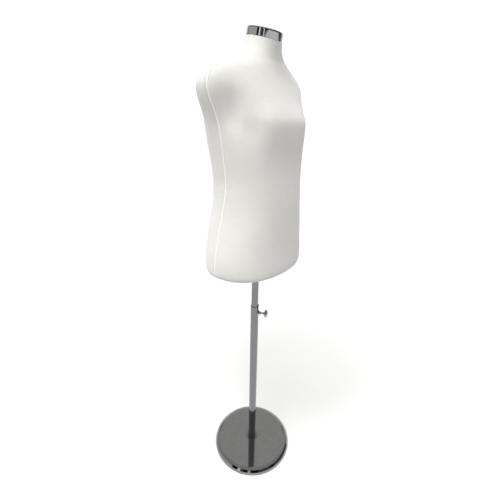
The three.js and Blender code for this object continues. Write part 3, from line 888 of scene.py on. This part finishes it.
def make_seams(cover, normals):
    """A raised seam down each side, and its row of stitches."""
    sewn = jersey("seam_jersey", (0.71, 0.705, 0.69), (0.65, 0.645, 0.63))
    cotton = thread()
    for name, column, lean in (("left", 0, 1), ("right", 2 * HALF, -1)):
        path = cover[:, column]
        rows = np.arange(len(path))
        fine = np.linspace(0, len(path) - 1, (len(path) - 1) * SEAM_FINENESS + 1)
        path = np.stack([np.interp(fine, rows, path[:, k]) for k in range(3)], 1)
        out = np.stack([np.interp(fine, rows, normals[:, column, k]) for k in range(3)], 1)
        out /= np.linalg.norm(out, axis=1, keepdims=True)
        tangent = np.gradient(path, axis=0)
        tangent /= np.linalg.norm(tangent, axis=1, keepdims=True)
        side = np.cross(tangent, out)
        run = np.concatenate([[0], np.cumsum(np.linalg.norm(np.diff(path, axis=0), axis=1))])
        make_seam(name, path, out, side, run, sewn)
        make_stitches(name, path, out, side, lean * STITCH_OFFSET, run, cotton)


def make_seam(name, path, out, side, run, sewn):
    arc = [(math.cos(a), math.sin(a)) for a in np.linspace(0, math.pi, 11)]
    points, uvs = [], []
    for i in range(len(path)):
        pinch = 0.5 + 0.5 * math.cos(2 * math.pi * run[i] / STITCH_PITCH)
        tall = SEAM_HEIGHT + 0.2 * MM * pinch
        wide = SEAM_HALF_WIDTH + 0.15 * MM * pinch
        for c, s in arc:
            across = c * wide
            points.append(path[i] + side[i] * across + out[i] * (s ** 0.8 * tall - 0.2 * MM))
            uvs.append((across, run[i]))
        points.append(path[i] - out[i] * SEAM_ROOT)
        uvs.append((0, run[i]))
    faces = capped_faces(len(path), len(arc) + 1)
    build(f"side_seam_{name}", points, faces, sewn, "torso", [f"seam_{name}"], uvs)


def make_stitches(name, path, out, side, offset, run, cotton):
    """Topstitching down the back edge of the seam: short rounded stitches."""
    def at(s, table):
        return np.array([np.interp(s, run, table[:, k]) for k in range(3)])

    points, faces = [], []
    for n in range(int((run[-1] - STITCH_MARGIN) / STITCH_PITCH)):
        centre = FIRST_STITCH + n * STITCH_PITCH
        faces.extend(capped_faces(STITCH_RINGS, STITCH_SIDES, len(points)))
        for q in range(STITCH_RINGS):
            t = q / (STITCH_RINGS - 1) * 2 - 1
            s = centre + t * STITCH_LENGTH / 2
            across, up = at(s, side), at(s, out)
            lift = STITCH_RISE - STITCH_DIP * abs(t) ** 2.5
            p = at(s, path) + across * offset + up * lift
            fat = STITCH_R * (1 - 0.45 * abs(t) ** 3)
            for k in range(STITCH_SIDES):
                a = 2 * math.pi * k / STITCH_SIDES
                points.append(p + across * (math.cos(a) * fat) + up * (math.sin(a) * fat))
    build(f"topstitch_{name}", points, faces, cotton, "torso")


FOAM_DEPTH = 1.9 * MM  # of the foam's surface under the cover's
BOARD_GAP = 0.3 * MM
CEILING_TAPER = 0.985  # the foam's flat underside against its lower edge


def make_core(grid):
    """The rigid foam body inside the cover, open underneath for the board and socket."""
    inner = grid - grid_normals(grid) * FOAM_DEPTH
    rows, columns = inner.shape[:2]
    points = inner.reshape(-1, 3).tolist()
    faces = tube_faces(rows, columns)
    points.append(inner[-1].mean(axis=0).tolist())
    last = (rows - 1) * columns
    faces.extend((last + j, len(points) - 1, last + (j + 1) % columns) for j in range(columns))
    low = len(points)
    ceiling = span("bottom_board")[1] + BOARD_GAP
    points.extend((p[0] * CEILING_TAPER, p[1] * CEILING_TAPER, ceiling) for p in inner[0])
    points.append((0, 0, ceiling))
    for j in range(columns):
        k = (j + 1) % columns
        faces.append((low + j, j, k, low + k))
        faces.append((low + columns, low + j, low + k))
    build("foam_body", points, faces, foam(), "torso", ["torso_core"])


# --------------------------------------------------------- torso's underside
SOCKET_BORE_R = 12.3 * MM
SOCKET_R = 14.4 * MM
SOCKET_PLATE_T = 3 * MM
SCREW_COUNT = 4
SCREW_SHANK_R = 2 * MM
SCREW_HEAD_R = 4 * MM
SCREW_HEAD_T = 2 * MM
SCREW_POINT = 3 * MM  # length of the pointed end
RECESS_SIZE = (4.2 * MM, 0.9 * MM, 1.8 * MM)  # one bar of the cross


def make_underside(dull):
    repaint("bottom_board", plywood())
    z0, z1 = span("pole_socket")
    R = radius("pole_socket")
    plate_top, closed_from = z0 + SOCKET_PLATE_T, z1 - SOCKET_PLATE_T
    lathe("socket_flange", [
        (SOCKET_BORE_R, z0, 0.4 * MM), (R, z0, 0.8 * MM), (R, plate_top, 0.3 * MM),
        (SOCKET_R, plate_top, 1.5 * MM), (SOCKET_R, z1, 0.8 * MM), (0, z1, 0), (0, closed_from, 0),
        (SOCKET_BORE_R, closed_from, 0.3 * MM), (SOCKET_BORE_R, z0, 0.4 * MM),
    ], dull, "torso", ["pole_socket"], segments=96)
    for i in range(1, SCREW_COUNT + 1):
        cross_head_screw(i, dull)


def cross_head_screw(i, dull):
    """Countersunk wood screw seen from below, with a cross recess."""
    node = f"socket_screw_{i}"
    middle = middle_of(node)
    z0, z1 = span(node)
    made = lathe(f"wood_screw_{i}", [
        (0, z0, 0), (2.0 * MM, z0, 0), (3.0 * MM, z0 + 0.25 * MM, 0.5 * MM),
        (SCREW_HEAD_R, z0 + 1.2 * MM, 0.4 * MM), (SCREW_HEAD_R, z0 + SCREW_HEAD_T, 0.2 * MM),
        (SCREW_SHANK_R, z0 + SCREW_HEAD_T, 0), (SCREW_SHANK_R, z1 - SCREW_POINT, 0), (0, z1, 0),
    ], dull, "torso", [node], middle, 48)
    bars = bmesh.new()
    for turn in (0, 90):
        turned = Matrix.Rotation(math.radians(turn + 20 * i), 4, "Z")
        place = middle @ Matrix.Translation((0, 0, z0)) @ turned
        bmesh.ops.create_cube(bars, size=1, matrix=place @ Matrix.Diagonal((*RECESS_SIZE, 1)))
    cutter_mesh = bpy.data.meshes.new("recess")
    bars.to_mesh(cutter_mesh)
    bars.free()
    cutter = bpy.data.objects.new("recess", cutter_mesh)
    scene.collection.objects.link(cutter)
    cut = made.modifiers.new("recess", "BOOLEAN")
    cut.operation = "DIFFERENCE"
    cut.solver = "EXACT"
    cut.use_self = True
    cut.object = cutter
    made.modifiers.move(1, 0)
    flat = bpy.data.meshes.new_from_object(made.evaluated_get(bpy.context.evaluated_depsgraph_get()))
    made.modifiers.remove(cut)
    made.data = flat
    bpy.data.objects.remove(cutter)


# --------------------------------------------------------------- neck cap
CAP_LEAN = math.radians(13)
CAP_FOOT = Vector((0, -10 * MM, 1438 * MM))
CAP_R = 46.4 * MM
CAP_H = 19 * MM
CAP_T = 1.2 * MM
CAP_EDGE_R = 4 * MM


def make_cap(plating):
    place = Matrix.Translation(CAP_FOOT) @ Matrix.Rotation(CAP_LEAN, 4, "X")
    inner_r, inner_h = CAP_R - CAP_T, CAP_H - CAP_T
    lathe("cap", [
        (0, inner_h, 0), (inner_r, inner_h, 3.5 * MM), (inner_r, 0, 0.3 * MM), (CAP_R, 0, 0.5 * MM),
        (CAP_R, CAP_H, CAP_EDGE_R), (0, CAP_H, 0),
    ], plating, "torso", ["neck_cap"], place, 192)


# ------------------------------------------------------------------ studio
FLOOR_R = 30.0
FLOOR_SIDES = 96
# All compass ways here are in degrees from +X round towards +Y.
BACKDROP_WAY = 38  # the middle of the white wall behind the form
BACKDROP_WHITE = 1.05
WALL_TOP = (0.62, 0.42)  # heights of the look between which the walls begin
CEILING_BACK = 0.64  # the ceiling above that wall
CEILING = 0.5  # the rest of it
SIDE_WALL_WAY = 135
SIDE_WALL = 0.7
ROOM_GREY = 0.12
DARK_BAYS = ((175, 6), (-142, 19), (-86, 4))  # way and half width
BAY_DARKNESS = 0.9
WINDOWS = ((-173, 3, 1.6), (-147, 3, 1.2))  # way, half width and brightness
# name, way, degrees above the floor, strength, spread in degrees, colour
SUNS = (
    ("key", 188, 63, 5.3, 40, (1.0, 0.99, 0.965)),
    ("fill", -85, 50, 0.8, 60, (1.0, 1.0, 1.0)),
)


def make_floor():
    floor_shader = Shader("floor")
    soft = floor_shader.noise(floor_shader.coords(), 3.0, 3)
    floor_shader.surface_inputs(
        Base_Color=floor_shader.mix(soft, (0.505, 0.505, 0.505), (0.525, 0.525, 0.525)), Roughness=0.6,
        Specular_IOR_Level=0.1,
    )
    turns = [2 * math.pi * k / FLOOR_SIDES for k in range(FLOOR_SIDES)]
    edge = [(FLOOR_R * math.cos(a), FLOOR_R * math.sin(a), 0) for a in turns]
    mesh = bpy.data.meshes.new("floor")
    mesh.from_pydata(edge, [], [tuple(range(FLOOR_SIDES))])
    mesh.materials.append(floor_shader.material)
    floor = bpy.data.objects.new("floor", mesh)
    scene.collection.objects.link(floor)


class Surroundings:
    """A plain room as light: a white wall behind the form, a pale wall at its side, a pale
    ceiling, and grey elsewhere with dark bays and narrow windows for the chrome to mirror."""

    def __init__(self):
        self.world = bpy.data.worlds.new("studio")
        self.world.use_nodes = True
        self.tree = self.world.node_tree
        self.way = self.node("ShaderNodeTexCoord", {}).outputs["Generated"]
        self.height = self.node("ShaderNodeSeparateXYZ", {}, self.way).outputs[2]
        flat = self.vector("MULTIPLY", self.way, Vector((1, 1, 0))).outputs["Vector"]
        self.level = self.vector("NORMALIZE", flat).outputs["Vector"]

    def node(self, kind, settings, *values):
        made = self.tree.nodes.new(kind)
        for key, value in settings.items():
            setattr(made, key, value)
        for socket, value in zip(made.inputs, values):
            if isinstance(value, bpy.types.NodeSocket):
                self.tree.links.new(value, socket)
            else:
                socket.default_value = value
        return made

    def vector(self, operation, *values):
        return self.node("ShaderNodeVectorMath", {"operation": operation}, *values)

    def math(self, operation, a, b):
        return self.node("ShaderNodeMath", {"operation": operation}, a, b).outputs[0]

    def step(self, value, low, high, at_low=0.0, at_high=1.0):
        smooth = {"interpolation_type": "SMOOTHSTEP"}
        return self.node("ShaderNodeMapRange", smooth, value, low, high, at_low, at_high).outputs[0]

    def around(self, degrees, full, none):
        """1 within `full` degrees of a compass way, falling to 0 at `none` degrees."""
        way = Vector((math.cos(math.radians(degrees)), math.sin(math.radians(degrees)), 0))
        along = self.vector("DOT_PRODUCT", self.level, way).outputs["Value"]
        return self.step(along, math.cos(math.radians(none)), math.cos(math.radians(full)))

    def finish(self):
        low = self.step(self.height, *WALL_TOP)
        side_wall = self.step(self.height, 0.5, 0.38, 0.0, SIDE_WALL)
        light = self.math("MULTIPLY", self.around(SIDE_WALL_WAY, 34, 38), side_wall)
        light = self.math("MAXIMUM", light, ROOM_GREY)
        for way, half_width in DARK_BAYS:
            bay = self.math("MULTIPLY", self.around(way, half_width - 1, half_width + 2), BAY_DARKNESS)
            light = self.math("MULTIPLY", light, self.math("SUBTRACT", 1.0, bay))
        for way, half_width, brightness in WINDOWS:
            pane = self.math("MULTIPLY", self.around(way, half_width - 1, half_width + 1), brightness)
            light = self.math("ADD", light, self.math("MULTIPLY", pane, low))
        above = self.step(self.height, 0.5, 0.65)
        ceiling = self.math("MULTIPLY", self.around(BACKDROP_WAY, 50, 80), above)
        light = self.math("MAXIMUM", light, self.math("MULTIPLY", ceiling, CEILING_BACK))
        light = self.math("MAXIMUM", light, self.step(self.height, 0.6, 0.75, 0.0, CEILING))
        wall = self.math("MULTIPLY", self.around(BACKDROP_WAY, 46, 58), low)
        light = self.math("MAXIMUM", light, self.math("MULTIPLY", wall, BACKDROP_WHITE))
        # seen directly it is all one plain white
        seen = self.node("ShaderNodeLightPath", {}).outputs["Is Camera Ray"]
        light = self.step(seen, 0.0, 1.0, light, BACKDROP_WHITE)
        background = self.tree.nodes["Background"]
        background.inputs["Color"].default_value = (1, 1, 1, 1)
        self.tree.links.new(light, background.inputs["Strength"])
        scene.world = self.world


def make_sun(name, way, above, strength, spread, colour):
    data = bpy.data.lights.new(name, "SUN")
    data.energy = strength
    data.angle = math.radians(spread)
    data.color = colour
    light = bpy.data.objects.new(name, data)
    scene.collection.objects.link(light)
    light.visible_glossy = False
    way, above = math.radians(way), math.radians(above)
    source = Vector((math.cos(way) * math.cos(above), math.sin(way) * math.cos(above), math.sin(above)))
    light.rotation_mode = "QUATERNION"
    light.rotation_quaternion = source.to_track_quat("Z", "Y")


# ---------------------------------------------------------------- assembly
make_camera()
disc_chrome = chrome("chrome_disc", (120, 120, 120), (0.31, 0.31, 0.305), 0.02)
tube_chrome = chrome("chrome_tube", (700, 700, 6), (0.235, 0.235, 0.25))
turned_chrome = chrome("chrome_turned", (160, 160, 900), (0.42, 0.42, 0.43))
plain_steel = steel("steel")
make_base_cover(disc_chrome)
make_weight()
make_feet()
make_pole_foot(tube_chrome, plain_steel)
make_pole(tube_chrome)
make_boss(turned_chrome)
make_thumb_screw(turned_chrome)
make_torso()
make_underside(plain_steel)
make_cap(turned_chrome)
make_floor()
Surroundings().finish()
for sun in SUNS:
    make_sun(*sun)
scene.view_settings.view_transform = "Standard"
